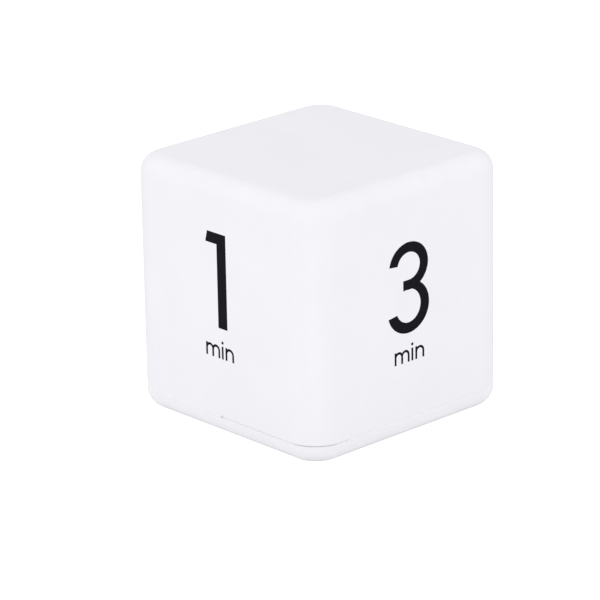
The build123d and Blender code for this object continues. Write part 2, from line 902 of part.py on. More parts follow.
# Ink fills a shallow bed in the shell and ends flush with the face
def ink_bed(outward, rightward, figures, shift, word):
    middle = Vector(*outward) * (half - ink_t) + Vector(0, 0, half)
    face = Plane(origin=middle, x_dir=rightward, z_dir=outward)
    return [face * (Pos(shift, 0) * figure) for figure in figures] + [face * letter for letter in word]


ten_figures = [numeral_one(ten_one_u + one_reach / 2), numeral_zero()]
word_one = word_min(word_one_u, -word_one_drop)
word_three = word_min(word_three_u, -word_three_drop)
word_hidden = word_min(hidden_u, -word_drop)
prints = {
    "numeral_1": ink_bed((0, -1, 0), (1, 0, 0), [numeral_one(one_reach / 2)], one_u, word_one),
    "numeral_3": ink_bed((1, 0, 0), (0, 1, 0), [numeral_three()], three_u, word_three),
    "numeral_5": ink_bed((0, 1, 0), (-1, 0, 0), [numeral_five()], hidden_u, word_hidden),
    "numeral_10": ink_bed((-1, 0, 0), (0, -1, 0), ten_figures, hidden_u, word_hidden),
}


# Write every piece
save("main_shell", main_shell(prints))
save("base_cover", base_cover())
save("battery_door", battery_door())
save("cover_screws", *[
    screw(x, y, screw_web_z, screw_r, screw_len, screw_head_r, screw_head_h, True)
    for x, y in corners(screw_xy, screw_xy)
])
save("battery_tray", battery_tray())
save("positive_contact", positive_contact())
save("negative_contact", negative_contact())
save("bridge_contact", bridge_contact())
spring_near = bay_x - contact_t
save("negative_spring", coil_spring(spring_near - spring_room, spring_near, cell_y))
save("bridge_spring", coil_spring(-spring_near, spring_room - spring_near, -cell_y))
save("cell_front", cell(-cell_y, 1))
save("cell_back", cell(cell_y, -1))
save("display_window", display_window())
save("display_front_glass", display_front_glass())
save("display_rear_glass", display_rear_glass())
save("display_reflector", display_reflector())
save("display_frame", display_frame())
save("contact_strip", contact_strip())
save("circuit_board", circuit_board())
save("board_screws", *[
    screw(x, post_y, board_top, board_screw_r, board_screw_len, board_screw_head_r, board_screw_head_h, False)
    for x in (-post_x, post_x)
])
save("chip_resin", chip_resin())
save("crystal", crystal())
save("chip_parts", *chip_parts())
save("capacitor", capacitor())
for key, place in tilt_places().items():
    case, contacts, ball = tilt_parts(place, key != "c")
    save("tilt_case_" + key, case)
    save("tilt_contacts_" + key, *contacts)
    save("tilt_ball_" + key, ball)
save("sounder_case", sounder_case())
save("sounder_disc", sounder_disc())
save("sounder_coil", sounder_coil())
save("sounder_base", sounder_base())
save("switch_housing", switch_housing())
save("switch_terminals", *switch_terminals())
save("switch_knob", switch_knob())

# Leads run from solder tabs, switch and sounder. Shares are of the way in x, in y and of the crest
near_tab = Vector(bay_x - contact_t / 2, -cell_y, tray_top + solder_tab_h)
far_tab = Vector(bay_x - contact_t / 2, cell_y, tray_top + solder_tab_h)
pin_z = wall + sounder_h + sounder_pin_h
terminal_z = wall + switch_h + terminal_h
pad_x = post_x - board_screw_head_r - pad_gap - lead_r
pad_y = post_y - post_gap
lead("lead_black", far_tab, Vector(pad_x, pad_y, board_top),
     [(0, 0, 0.59), (0.33, 0.53, 0.91), (1, 1, 0.31)])
lead("lead_red_cell", near_tab, Vector(switch_x + terminal_pitch, front_y, terminal_z),
     [(0, 0, 0.64), (0.37, 0.43, 0.98), (1, 1, 0.37)])
lead("lead_red_board", Vector(switch_x - terminal_pitch, front_y, terminal_z),
     Vector(2 * pad_pitch - pad_x, pad_y, board_top),
     [(0, 0, 0.03), (0.18, 0.23, 0.6), (0.56, 0.51, 0.71), (0.92, 0.79, 0.63), (1, 1, 0.16)])
lead("sounder_lead_near", Vector(sounder_x + sounder_pin_x, front_y, pin_z),
     Vector(pad_pitch - pad_x, pad_y, board_top),
     [(0, 0, 0.2), (0.31, 0.23, 0.89), (0.79, 0.52, 0.98), (1, 0.81, 0.8), (1, 1, 0.24)])
lead("sounder_lead_far", Vector(sounder_x - sounder_pin_x, front_y, pin_z),
     Vector(-pad_x, pad_y, board_top),
     [(0, 0, 0.13), (0.46, 0.21, 0.73), (0.96, 0.5, 0.71), (1.03, 0.8, 0.56), (1, 1, 0.11)])

for name, faces in prints.items():
    save(name, *[extrude(face, ink_t) for face in faces])
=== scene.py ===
import json
import math

import bmesh
import bpy
from mathutils import Matrix, Vector


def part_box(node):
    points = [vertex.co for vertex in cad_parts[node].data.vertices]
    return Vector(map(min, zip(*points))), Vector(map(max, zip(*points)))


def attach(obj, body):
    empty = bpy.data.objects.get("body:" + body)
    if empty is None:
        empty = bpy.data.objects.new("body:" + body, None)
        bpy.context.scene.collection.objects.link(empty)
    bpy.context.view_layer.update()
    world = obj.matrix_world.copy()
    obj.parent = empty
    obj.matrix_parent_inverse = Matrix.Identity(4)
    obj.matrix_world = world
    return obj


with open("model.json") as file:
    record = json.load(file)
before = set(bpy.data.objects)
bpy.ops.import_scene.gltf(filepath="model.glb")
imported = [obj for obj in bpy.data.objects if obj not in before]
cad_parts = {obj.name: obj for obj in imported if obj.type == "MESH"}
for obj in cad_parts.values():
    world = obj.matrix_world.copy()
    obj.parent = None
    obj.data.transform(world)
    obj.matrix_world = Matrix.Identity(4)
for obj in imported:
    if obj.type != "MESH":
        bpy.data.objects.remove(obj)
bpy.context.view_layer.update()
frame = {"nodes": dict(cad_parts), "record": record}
nodes = frame["nodes"]

MM = 0.001

# The case: a rounded cube whose cover meets the shell in a seam near its foot

HALF = 67 * MM / 2
CORNER = 8.5 * MM
RIM_START = 5 * MM
RIM_END = 1.6 * MM
SEAM_Z = 5.43 * MM
NOTCH_X = 0.15 * MM
NOTCH_W = 0.9 * MM

# What lies in the seam: dust with painted light over the groove's shade, and painted shade. Each pair here
# and below runs from where an effect is nothing to where it is whole

DUST_AND_LIGHT_REACH = 0.7 * MM
GROOVE_DEPTHS = (0.005 * MM, 0.03 * MM)
PAST_GROOVE = (0.45 * MM, 0.35 * MM)
FILL_SLANT = 0.343
FILL_LINE = (33.7 * MM, 32.7 * MM)
# Painted shade in the seam: near two corners and in the front notch
PAINTED_SHADE_LINE = (58 * MM, 61 * MM)
NOTCH_SHADE_SHARE = 0.5
# Painted light: the seam glows a little to lift the groove's shade, more where it is filled
FREE_SEAM_GLOW = 0.55
FILLED_SEAM_GLOW = 0.9

# Cover screws, whose crosses open downwards

SCREW_XY = 23.5 * MM
CROSS_DEPTHS = (3.66 * MM, 4.1 * MM)
CROSS_END = (4.8 * MM, 4.7 * MM)
CROSS_REACH = (1.9 * MM, 1.6 * MM)
# Painted shade in the crosses reaches at most this share
CROSS_SHADE_SHARE = 0.85

# Cells: their middles, the bare face inside the rim, and the sleeve's silver bands, measured towards one end

CELL_Y = 5.55 * MM
CELL_Z = 8.6 * MM
CELL_FACE_R = (4.55 * MM, 4.45 * MM)
BAND_START = (15.0 * MM, 15.1 * MM)
SLEEVE_END = (-18.6 * MM, -18.7 * MM)

# Layers of the contact rubber and tracks of the board

LAYER = 0.05 * MM
LAYER_EDGE = (0.015 * MM, 0.035 * MM)
TRACK_LANE = 0.65 * MM
TRACK_EDGE = (0.30 * MM, 0.36 * MM)
TRACK_WANDER = 3.2 * MM
TRACK_SLANT = 0.3

# Camera at the photograph's angle

CAMERA_TURN = 47.17
CAMERA_RISE = 19.566
CAMERA_ROLL = -1.054
CAMERA_AWAY = 958.68 * MM
AIM_ACROSS = -4.732 * MM
AIM_UP = -5.471 * MM
LENS_LENGTH = 229.44
SENSOR_WIDTH = 36
NEAREST_SEEN = 0.01
FARTHEST_SEEN = 20


def aim_camera():
    turn, rise, roll = (math.radians(angle) for angle in (CAMERA_TURN, CAMERA_RISE, CAMERA_ROLL))
    back = Vector((math.sin(turn) * math.cos(rise), -math.cos(turn) * math.cos(rise), math.sin(rise)))
    level = Vector((0, 0, 1)).cross(back).normalized()
    plumb = back.cross(level)
    across = level * math.cos(roll) + plumb * math.sin(roll)
    up = plumb * math.cos(roll) - level * math.sin(roll)
    aim = Vector((0, 0, HALF)) + level * AIM_ACROSS + plumb * AIM_UP
    place = Matrix((across, up, back)).transposed().to_4x4()
    place.translation = aim + back * CAMERA_AWAY
    lens = bpy.data.cameras.new("Photograph angle")
    lens.sensor_width = SENSOR_WIDTH
    lens.lens = LENS_LENGTH
    lens.clip_start = NEAREST_SEEN
    lens.clip_end = FARTHEST_SEEN
    camera = bpy.data.objects.new("Camera", lens)
    camera.matrix_world = place
    bpy.context.scene.collection.objects.link(camera)
    bpy.context.scene.camera = camera


# Shader helpers

def put(tree, kind, settings=None, inputs=None):
    node = tree.nodes.new(kind)
    for key, value in (settings or {}).items():
        setattr(node, key, value)
    for key, value in (inputs or {}).items():
        if isinstance(value, bpy.types.NodeSocket):
            tree.links.new(value, node.inputs[key])
        else:
            node.inputs[key].default_value = value
    return node


def reckon(tree, operation, *terms, clamp=False):
    inputs = dict(enumerate(terms))
    return put(tree, "ShaderNodeMath", {"operation": operation, "use_clamp": clamp}, inputs).outputs[0]


def product(tree, *terms):
    result = terms[0]
    for term in terms[1:]:
        result = reckon(tree, "MULTIPLY", result, term)
    return result


def distance(tree, across, along):
    squares = (product(tree, term, term) for term in (across, along))
    return reckon(tree, "SQRT", reckon(tree, "ADD", *squares))


def size_of(tree, value):
    return reckon(tree, "ABSOLUTE", value)


def away_from(tree, value, middle):
    return size_of(tree, reckon(tree, "SUBTRACT", value, middle))


def spread(tree, value, low, high, to_low=0.0, to_high=1.0, smooth=False):
    kind = "SMOOTHSTEP" if smooth else "LINEAR"
    inputs = {"Value": value, "From Min": low, "From Max": high, "To Min": to_low, "To Max": to_high}
    return put(tree, "ShaderNodeMapRange", {"interpolation_type": kind}, inputs).outputs[0]


# A colour is three shares, or a socket. The Mix node's colour sockets are its inputs 6 and 7 and its output 2

def tint(tree, mask, under, over):
    under, over = ((*colour, 1) if isinstance(colour, tuple) else colour for colour in (under, over))
    return put(tree, "ShaderNodeMix", {"data_type": "RGBA"}, {0: mask, 6: under, 7: over}).outputs[2]


def dimmed(colour, share):
    return tuple(part * share for part in colour)


# A noise pattern lies mostly between these two values

NOISE_RANGE = (0.3, 0.7)


def vary(tree, pattern, low=0.0, high=1.0):
    return spread(tree, pattern, *NOISE_RANGE, low, high)


def object_place(tree):
    return put(tree, "ShaderNodeTexCoord").outputs["Object"]


def axes_of(tree, place):
    return put(tree, "ShaderNodeSeparateXYZ", None, {0: place}).outputs


def noise(tree, place, scale, detail=2.0, roughness=0.5):
    inputs = {"Vector": place, "Scale": scale, "Detail": detail, "Roughness": roughness}
    return put(tree, "ShaderNodeTexNoise", None, inputs).outputs[0]


def open_group(name, takes, gives):
    tree = bpy.data.node_groups.new(name, "ShaderNodeTree")
    for label, value in takes:
        socket = tree.interface.new_socket(label, in_out="INPUT", socket_type="NodeSocketFloat")
        socket.default_value = value
    for label in gives:
        tree.interface.new_socket(label, in_out="OUTPUT", socket_type="NodeSocketFloat")
    return tree, tree.nodes.new("NodeGroupInput").outputs, tree.nodes.new("NodeGroupOutput")


def join(tree, node, **sockets):
    for label, socket in sockets.items():
        tree.links.new(socket, node.inputs[label.replace("_", " ")])


def use_group(tree, group, **values):
    node = put(tree, "ShaderNodeGroup", {"node_tree": group})
    for label, value in values.items():
        node.inputs[label.replace("_", " ")].default_value = value
    return node.outputs


def new_finish(name, **shader_values):
    finish = bpy.data.materials.new(name)
    finish.use_nodes = True
    tree = finish.node_tree
    shader = tree.nodes["Principled BSDF"]
    for label, value in shader_values.items():
        shader.inputs[label.replace("_", " ")].default_value = value
    return finish, tree, shader


def relief(tree, shader, height, depth):
    inputs = {"Height": height, "Distance": depth, "Strength": 1.0}
    join(tree, shader, Normal=put(tree, "ShaderNodeBump", None, inputs).outputs[0])


# Effects that several finishes share

def make_moulded_skin():
    takes = [("Grain per metre", 3000.0), ("Wave per metre", 90.0), ("Wave share", 0.3)]
    tree, take, leave = open_group("Moulded skin", takes, ["Height", "Cloud"])
    place = object_place(tree)
    grain = noise(tree, place, take["Grain per metre"], detail=3.0, roughness=0.6)
    wave = noise(tree, place, take["Wave per metre"], detail=2.0, roughness=0.45)
    height = reckon(tree, "MULTIPLY_ADD", wave, take["Wave share"], grain)
    join(tree, leave, Height=height, Cloud=wave)
    return tree


# The cube's edges are where the second largest of the three distances from its middle is near half its width

def make_rubbed_corners():
    takes = [("Half width", HALF), ("Middle height", HALF),
             ("Start inside", RIM_START), ("End inside", RIM_END)]
    tree, take, leave = open_group("Rubbed corners", takes, ["Mask"])
    place = object_place(tree)
    x, y, z = axes_of(tree, place)
    away_x, away_y = size_of(tree, x), size_of(tree, y)
    away_z = away_from(tree, z, take["Middle height"])
    least = reckon(tree, "MINIMUM", away_x, away_y)
    most = reckon(tree, "MAXIMUM", away_x, away_y)
    second = reckon(tree, "MAXIMUM", least, reckon(tree, "MINIMUM", most, away_z))
    start = reckon(tree, "SUBTRACT", take["Half width"], take["Start inside"])
    end = reckon(tree, "SUBTRACT", take["Half width"], take["End inside"])
    corner = spread(tree, second, start, end, smooth=True)
    scuffs = spread(tree, noise(tree, place, 260.0, detail=5.0, roughness=0.65), 0.30, 0.75)
    join(tree, leave, Mask=product(tree, corner, scuffs))
    return tree


# Dust and painted light in the seam's groove and notch, with the part where it fills the seam, and painted
# shade near two corners and in the notch

def make_seam_dust_light_and_shade():
    takes = [("Line height", SEAM_Z), ("Line width", DUST_AND_LIGHT_REACH),
             ("Half width", HALF), ("Corner radius", CORNER)]
    tree, take, leave = open_group("Seam fill with painted light and shade", takes, ["Mask", "Fill", "Grime"])
    place = object_place(tree)
    x, y, z = axes_of(tree, place)
    near = spread(tree, away_from(tree, z, take["Line height"]), take["Line width"], 0.0, smooth=True)
    core = reckon(tree, "SUBTRACT", take["Half width"], take["Corner radius"])
    past_core = [reckon(tree, "SUBTRACT", size_of(tree, axis), core) for axis in (x, y)]
    past_x, past_y = (reckon(tree, "MAXIMUM", past, 0.0) for past in past_core)
    depth = reckon(tree, "SUBTRACT", take["Corner radius"], distance(tree, past_x, past_y))
    sunk = product(tree, spread(tree, depth, *GROOVE_DEPTHS), spread(tree, depth, *PAST_GROOVE))
    patchy = spread(tree, noise(tree, place, 420.0, detail=4.0, roughness=0.6), 0.3, 0.65, 0.75, 1.0)
    slant = size_of(tree, reckon(tree, "MULTIPLY_ADD", x, FILL_SLANT, product(tree, y, -1.0)))
    # Where the seam is filled its dust is paler and glows more: painted light over the groove's shade
    fill = spread(tree, slant, *FILL_LINE, smooth=True)
    # Painted shade: the seam darkens near two corners and in the front notch
    corner_painted_shade = spread(tree, away_from(tree, x, y), *PAINTED_SHADE_LINE, smooth=True)
    notch_painted_shade = spread(tree, away_from(tree, x, NOTCH_X), NOTCH_W, NOTCH_W / 2, 0.0, NOTCH_SHADE_SHARE)
    front = reckon(tree, "LESS_THAN", y, 0.0)
    painted_shade = reckon(tree, "MAXIMUM", corner_painted_shade, product(tree, notch_painted_shade, front))
    join(tree, leave, Mask=product(tree, near, sunk, patchy), Fill=fill, Grime=painted_shade)
    return tree


def make_drawn_metal():
    takes = [("Streak per metre", 5000.0), ("Along share", 0.04)]
    tree, take, leave = open_group("Drawn metal", takes, ["Height", "Gloss"])
    place = object_place(tree)
    squeeze = put(tree, "ShaderNodeCombineXYZ", None, {0: take["Along share"], 1: 1.0, 2: 1.0}).outputs[0]
    drawn = put(tree, "ShaderNodeVectorMath", {"operation": "MULTIPLY"}, {0: place, 1: squeeze}).outputs[0]
    streaks = noise(tree, drawn, take["Streak per metre"], detail=3.0, roughness=0.6)
    smear = noise(tree, place, 700.0, detail=3.0, roughness=0.55)
    join(tree, leave, Height=streaks, Gloss=smear)
    return tree


moulded_skin = make_moulded_skin()
rubbed_corners = make_rubbed_corners()
seam_dust_light_and_shade = make_seam_dust_light_and_shade()
drawn_metal = make_drawn_metal()


# White outer plastic: satin and finely textured, with rubbed corners, and painted light and shade in the seam

WHITE = (0.775, 0.768, 0.805)
MOTTLED_SHARE = 0.985
RUBBED_WHITE = (0.86, 0.855, 0.86)
RUBBED_PALENESS = 0.25
RUBBED_ROUGHNESS = -0.12
SPARK_DEPTH = 0.012 * MM
# Seam dust, paler than the plastic itself: dust and painted light over the groove's shade
LOOSE_DUST_AND_LIGHT = (0.86, 0.855, 0.875)
PACKED_DUST_AND_LIGHT = (0.97, 0.965, 0.975)
# Painted shade in the seam
SEAM_PAINTED_SHADE = (0.60, 0.59, 0.61)
SEAM_LIGHT = (0.107, 0.106, 0.110)
NO_LIGHT = (0, 0, 0)


# Seam dust, paler than the plastic as painted light, with a painted glow against the groove's shade, and no
# glow where painted shade darkens the seam

def fill_seam(tree, shader, plastic):
    seam_marks = use_group(tree, seam_dust_light_and_shade, Line_height=SEAM_Z, Line_width=DUST_AND_LIGHT_REACH)
    dust_light_shade = tint(tree, seam_marks["Fill"], LOOSE_DUST_AND_LIGHT, PACKED_DUST_AND_LIGHT)
    dust_light_shade = tint(tree, seam_marks["Grime"], dust_light_shade, SEAM_PAINTED_SHADE)
    # Painted glow in the seam, with none where the painted shade lies
    glow = spread(tree, seam_marks["Fill"], 0.0, 1.0, FREE_SEAM_GLOW, FILLED_SEAM_GLOW)
    glow = product(tree, glow, reckon(tree, "SUBTRACT", 1.0, seam_marks["Grime"]), seam_marks["Mask"])
    shader.inputs["Emission Strength"].default_value = 1.0
    join(tree, shader, Emission_Color=tint(tree, glow, NO_LIGHT, SEAM_LIGHT))
    return tint(tree, seam_marks["Mask"], plastic, dust_light_shade)


def white_finish(name, with_seam):
    finish, tree, shader = new_finish(name, Specular_IOR_Level=0.42)
    surface = use_group(tree, moulded_skin, Grain_per_metre=3400.0, Wave_per_metre=70.0, Wave_share=0.6)
    rubbed = use_group(tree, rubbed_corners)["Mask"]
    base = tint(tree, spread(tree, surface["Cloud"], 0.35, 0.65), WHITE, dimmed(WHITE, MOTTLED_SHARE))
    if with_seam:
        base = fill_seam(tree, shader, base)
    base = tint(tree, product(tree, rubbed, RUBBED_PALENESS), base, RUBBED_WHITE)
    gloss = vary(tree, surface["Cloud"], 0.40, 0.47)
    gloss = reckon(tree, "MULTIPLY_ADD", rubbed, RUBBED_ROUGHNESS, gloss)
    join(tree, shader, Base_Color=base, Roughness=gloss)
    relief(tree, shader, surface["Height"], SPARK_DEPTH)
    return finish


INK = (0.0042, 0.0038, 0.0062)
THIN_INK = (0.014, 0.013, 0.017)
INK_GRAIN_DEPTH = 0.006 * MM


def ink_finish():
    finish, tree, shader = new_finish("Pad-printed ink", Specular_IOR_Level=0.05)
    place = object_place(tree)
    surface = use_group(tree, moulded_skin, Grain_per_metre=5200.0, Wave_per_metre=300.0, Wave_share=0.8)
    thin = spread(tree, noise(tree, place, 1500.0, detail=4.0, roughness=0.7), 0.62, 0.78)
    base = tint(tree, thin, INK, THIN_INK)
    gloss = vary(tree, surface["Cloud"], 0.42, 0.55)
    join(tree, shader, Base_Color=base, Roughness=gloss)
    relief(tree, shader, surface["Height"], INK_GRAIN_DEPTH)
    return finish


# Plain moulded, cast and fired pieces

def moulded_finish(name, colour, rough, grain, depth, change=0.8):
    finish, tree, shader = new_finish(name, Specular_IOR_Level=0.4)
    surface = use_group(tree, moulded_skin, Grain_per_metre=grain, Wave_per_metre=220.0, Wave_share=0.7)
    base = tint(tree, vary(tree, surface["Cloud"]), colour, dimmed(colour, change))
    gloss = vary(tree, surface["Cloud"], rough - 0.05, rough + 0.06)
    join(tree, shader, Base_Color=base, Roughness=gloss)
    relief(tree, shader, surface["Height"], depth)
    return finish


# Bare and plated metal, with streaks along the way that it was drawn

def metal_finish(name, colour, rough, streak=5000.0, along=0.04, depth=0.004 * MM, dull=0.86):
    finish, tree, shader = new_finish(name, Metallic=1.0)
    drawn = use_group(tree, drawn_metal, Streak_per_metre=streak, Along_share=along)
    base = tint(tree, spread(tree, drawn["Gloss"], 0.35, 0.7), colour, dimmed(colour, dull))
    gloss = vary(tree, drawn["Gloss"], rough - 0.06, rough + 0.1)
    join(tree, shader, Base_Color=base, Roughness=gloss)
    relief(tree, shader, drawn["Height"], depth)
    return finish


# Cover screws: zinc, with painted shade in the cross, darker deeper in

ZINC = (0.60, 0.61, 0.62)
CROSS_PAINTED_SHADE = (0.07, 0.065, 0.06)


def cover_screw_finish():
    finish = metal_finish("Zinc-plated cover screws", ZINC, 0.30, streak=3500.0, along=1.0)
    tree = finish.node_tree
    shader = tree.nodes["Principled BSDF"]
    clean = shader.inputs["Base Color"].links[0].from_socket
    x, y, z = axes_of(tree, object_place(tree))
    off_x, off_y = (reckon(tree, "SUBTRACT", size_of(tree, axis), SCREW_XY) for axis in (x, y))
    # Painted shade: darker the deeper into the cross
    sunk = spread(tree, z, *CROSS_DEPTHS, 0.0, CROSS_SHADE_SHARE)
    inside = spread(tree, distance(tree, off_x, off_y), *CROSS_REACH)
    painted_shade = product(tree, sunk, inside, spread(tree, z, *CROSS_END))
    join(tree, shader, Base_Color=tint(tree, painted_shade, clean, CROSS_PAINTED_SHADE))
    return finish


# Clear plastic lets light through to what lies behind it, so it casts no shadow

SMUDGED_SHARE = 0.97
SMUDGE_ROUGHNESS = 0.05


def clear_finish(name, colour, rough, index):
    finish, tree, shader = new_finish(name, Transmission_Weight=1.0, IOR=index)
    place = object_place(tree)
    smudge = spread(tree, noise(tree, place, 160.0, detail=4.0, roughness=0.6), 0.45, 0.75)
    base = tint(tree, smudge, colour, dimmed(colour, SMUDGED_SHARE))
    gloss = spread(tree, smudge, 0.0, 1.0, rough, rough + SMUDGE_ROUGHNESS)
    join(tree, shader, Base_Color=base, Roughness=gloss)
    rays = put(tree, "ShaderNodeLightPath").outputs
    passing = reckon(tree, "MAXIMUM", rays["Is Shadow Ray"], rays["Is Diffuse Ray"])
    through = put(tree, "ShaderNodeBsdfTransparent", None, {0: (*colour, 1)}).outputs[0]
    mix = put(tree, "ShaderNodeMixShader", None, {0: passing, 1: shader.outputs[0], 2: through})
    tree.links.new(mix.outputs[0], tree.nodes["Material Output"].inputs["Surface"])
    return finish


# Display glass: its polariser films and the silver sheet behind make it one grey-green field under gloss

FIELD_DARK = (0.475, 0.520, 0.430)
FIELD_LIGHT = (0.545, 0.585, 0.495)
FIELD_HAZE = (0.50, 0.55, 0.50)
SPARKLE_PER_METRE = 9000.0


def display_glass_finish():
    finish, tree, shader = new_finish("Display glass", Specular_IOR_Level=0.3, Coat_Weight=0.6,
                                      Coat_Roughness=0.03)
    place = object_place(tree)
    sparkle = noise(tree, place, SPARKLE_PER_METRE)
    haze = spread(tree, noise(tree, place, 120.0), 0.4, 0.8, 0.0, 0.3)
    field = tint(tree, spread(tree, sparkle, 0.35, 0.65), FIELD_DARK, FIELD_LIGHT)
    base = tint(tree, haze, field, FIELD_HAZE)
    join(tree, shader, Base_Color=base, Roughness=vary(tree, sparkle, 0.42, 0.55))
    return finish


UNLIT_DARK = (0.05, 0.055, 0.05)
UNLIT_LIGHT = (0.08, 0.085, 0.08)
UNLIT_COVER = (0.07, 0.10)


def unlit_stroke_finish():
    finish, tree, shader = new_finish("Unlit display stroke", Roughness=0.4)
    patchy = noise(tree, object_place(tree), 1200.0)
    base = tint(tree, patchy, UNLIT_DARK, UNLIT_LIGHT)
    join(tree, shader, Base_Color=base, Alpha=vary(tree, patchy, *UNLIT_COVER))
    return finish


FILM_DARK = (0.72, 0.77, 0.67)
FILM_LIGHT = (0.80, 0.84, 0.75)


def silver_film_finish():
    finish, tree, shader = new_finish("Display backing film", Specular_IOR_Level=0.4)
    sparkle = noise(tree, object_place(tree), SPARKLE_PER_METRE)
    base = tint(tree, vary(tree, sparkle), FILM_DARK, FILM_LIGHT)
    join(tree, shader, Base_Color=base, Roughness=vary(tree, sparkle, 0.35, 0.5))
    return finish


# Contact rubber: thin dark conducting layers between pale ones, across its length

RUBBER = (0.72, 0.50, 0.47)
CONDUCTING_LAYER = (0.10, 0.09, 0.09)
RUBBER_GRAIN_DEPTH = 0.008 * MM


def layered_rubber_finish():
    finish, tree, shader = new_finish("Layered contact rubber", Specular_IOR_Level=0.3)
    place = object_place(tree)
    x = axes_of(tree, place)[0]
    layer = spread(tree, reckon(tree, "PINGPONG", x, LAYER), *LAYER_EDGE)
    grain = noise(tree, place, 4000.0)
    base = tint(tree, layer, RUBBER, CONDUCTING_LAYER)
    join(tree, shader, Base_Color=base, Roughness=vary(tree, grain, 0.62, 0.78))
    relief(tree, shader, grain, RUBBER_GRAIN_DEPTH)
    return finish


# Green lacquer over copper tracks: lighter where a track runs beneath

LACQUER_DARK = (0.018, 0.135, 0.05)
LACQUER_LIGHT = (0.03, 0.175, 0.07)
LACQUERED_TRACK = (0.055, 0.30, 0.11)
TRACK_HEIGHT = 0.02 * MM


def board_finish():
    finish, tree, shader = new_finish("Green lacquered board", Specular_IOR_Level=0.5, Coat_Weight=0.3)
    place = object_place(tree)
    bend = noise(tree, place, 130.0, detail=1.0, roughness=0.4)
    axes = axes_of(tree, place)
    slanted = reckon(tree, "ADD", axes[0], product(tree, axes[1], TRACK_SLANT))
    lane = reckon(tree, "MULTIPLY_ADD", bend, TRACK_WANDER, slanted)
    track = spread(tree, reckon(tree, "PINGPONG", lane, TRACK_LANE), *TRACK_EDGE)
    cloth = noise(tree, place, 2600.0)
    base = tint(tree, vary(tree, cloth), LACQUER_DARK, LACQUER_LIGHT)
    base = tint(tree, track, base, LACQUERED_TRACK)
    join(tree, shader, Base_Color=base, Roughness=vary(tree, cloth, 0.28, 0.4))
    relief(tree, shader, track, TRACK_HEIGHT)
    return finish


# Blue sleeve round each cell, with a silver band at both ends and bare metal inside its rolled rim

SLEEVE_BLUE = (0.035, 0.075, 0.20)
SLEEVE_SILVER = (0.55, 0.56, 0.58)
SLEEVE_WORN = (0.30, 0.32, 0.36)
SLEEVE_WEAR = 0.35
SLEEVE_GRAIN_DEPTH = 0.006 * MM
CELL_METAL = (0.68, 0.67, 0.65)


def cell_finish(name, middle_y, toward):
    finish, tree, shader = new_finish(name, Specular_IOR_Level=0.5)
    place = object_place(tree)
    x, y, z = axes_of(tree, place)
    off_y = reckon(tree, "SUBTRACT", y, middle_y)
    off_z = reckon(tree, "SUBTRACT", z, CELL_Z)
    metal = spread(tree, distance(tree, off_y, off_z), *CELL_FACE_R)
    along = product(tree, x, toward)
    wear = spread(tree, noise(tree, place, 900.0, detail=5.0, roughness=0.65), 0.6, 0.72)
    sleeve = tint(tree, spread(tree, along, *BAND_START), SLEEVE_BLUE, SLEEVE_SILVER)
    sleeve = tint(tree, spread(tree, along, *SLEEVE_END), sleeve, SLEEVE_SILVER)
    sleeve = tint(tree, product(tree, wear, SLEEVE_WEAR), sleeve, SLEEVE_WORN)
    base = tint(tree, metal, sleeve, CELL_METAL)
    join(tree, shader, Base_Color=base, Roughness=spread(tree, wear, 0.0, 1.0, 0.26, 0.42), Metallic=metal)
    relief(tree, shader, noise(tree, place, 2500.0, detail=3.0), SLEEVE_GRAIN_DEPTH)
    return finish


def make_plastic_finishes():
    return {
        "main_shell": white_finish("White shell plastic", True),
        "base_cover": white_finish("White cover plastic", True),
        "battery_door": white_finish("White door plastic", False),
        "inner_plastic": moulded_finish("Inner white plastic", (0.66, 0.66, 0.64), 0.5,
                                        grain=1800.0, depth=0.006 * MM, change=0.94),
        "black_resin": moulded_finish("Cast black resin", (0.012, 0.012, 0.013), 0.16,
                                      grain=900.0, depth=0.02 * MM),
        "black_plastic": moulded_finish("Black moulded plastic", (0.022, 0.022, 0.024), 0.42,
                                        grain=4200.0, depth=0.01 * MM),
        "component_beige": moulded_finish("Baked ceramic", (0.36, 0.27, 0.17), 0.38,
                                          grain=5200.0, depth=0.006 * MM),
        "red_lead": moulded_finish("Red lead insulation", (0.47, 0.013, 0.014), 0.45,
                                   grain=2600.0, depth=0.008 * MM),
        "black_lead": moulded_finish("Black lead insulation", (0.014, 0.014, 0.015), 0.45,
                                     grain=2600.0, depth=0.008 * MM),
        "contact_rubber": layered_rubber_finish(),
        "black_ink": ink_finish(),
    }


def make_display_finishes():
    return {
        "clear_window": clear_finish("Clear window plastic", (0.97, 0.985, 0.98), 0.02, 1.49),
        "display_glass": display_glass_finish(),
        "unlit_stroke": unlit_stroke_finish(),
        "reflector": silver_film_finish(),
    }


def make_metal_finishes():
    return {
        "cover_screws": cover_screw_finish(),
        "bright_steel": metal_finish("Zinc-plated steel", ZINC, 0.30),
        "contact_nickel": metal_finish("Nickel-plated spring strip", (0.66, 0.63, 0.58), 0.24),
        "pin_brass": metal_finish("Tinned brass pins", (0.70, 0.60, 0.38), 0.28),
        "ball_steel": metal_finish("Polished ball steel", (0.72, 0.72, 0.73), 0.10,
                                   streak=1500.0, along=1.0, depth=0.001 * MM, dull=0.92),
        "coil_copper": metal_finish("Enamelled copper wire", (0.66, 0.25, 0.10), 0.3,
                                    streak=9000.0, along=0.02, depth=0.01 * MM),
        "solder": metal_finish("Solder", (0.62, 0.62, 0.60), 0.22,
                               streak=1200.0, along=1.0, depth=0.01 * MM, dull=0.85),
    }


def make_board_and_cell_finishes():
    return {
        "board_green": board_finish(),
        "cell_front": cell_finish("Front cell sleeve", -CELL_Y, 1.0),
        "cell_back": cell_finish("Back cell sleeve", CELL_Y, -1.0),
    }


# Each CAD node wears the finish of its own name if there is one, and otherwise that of its material slot

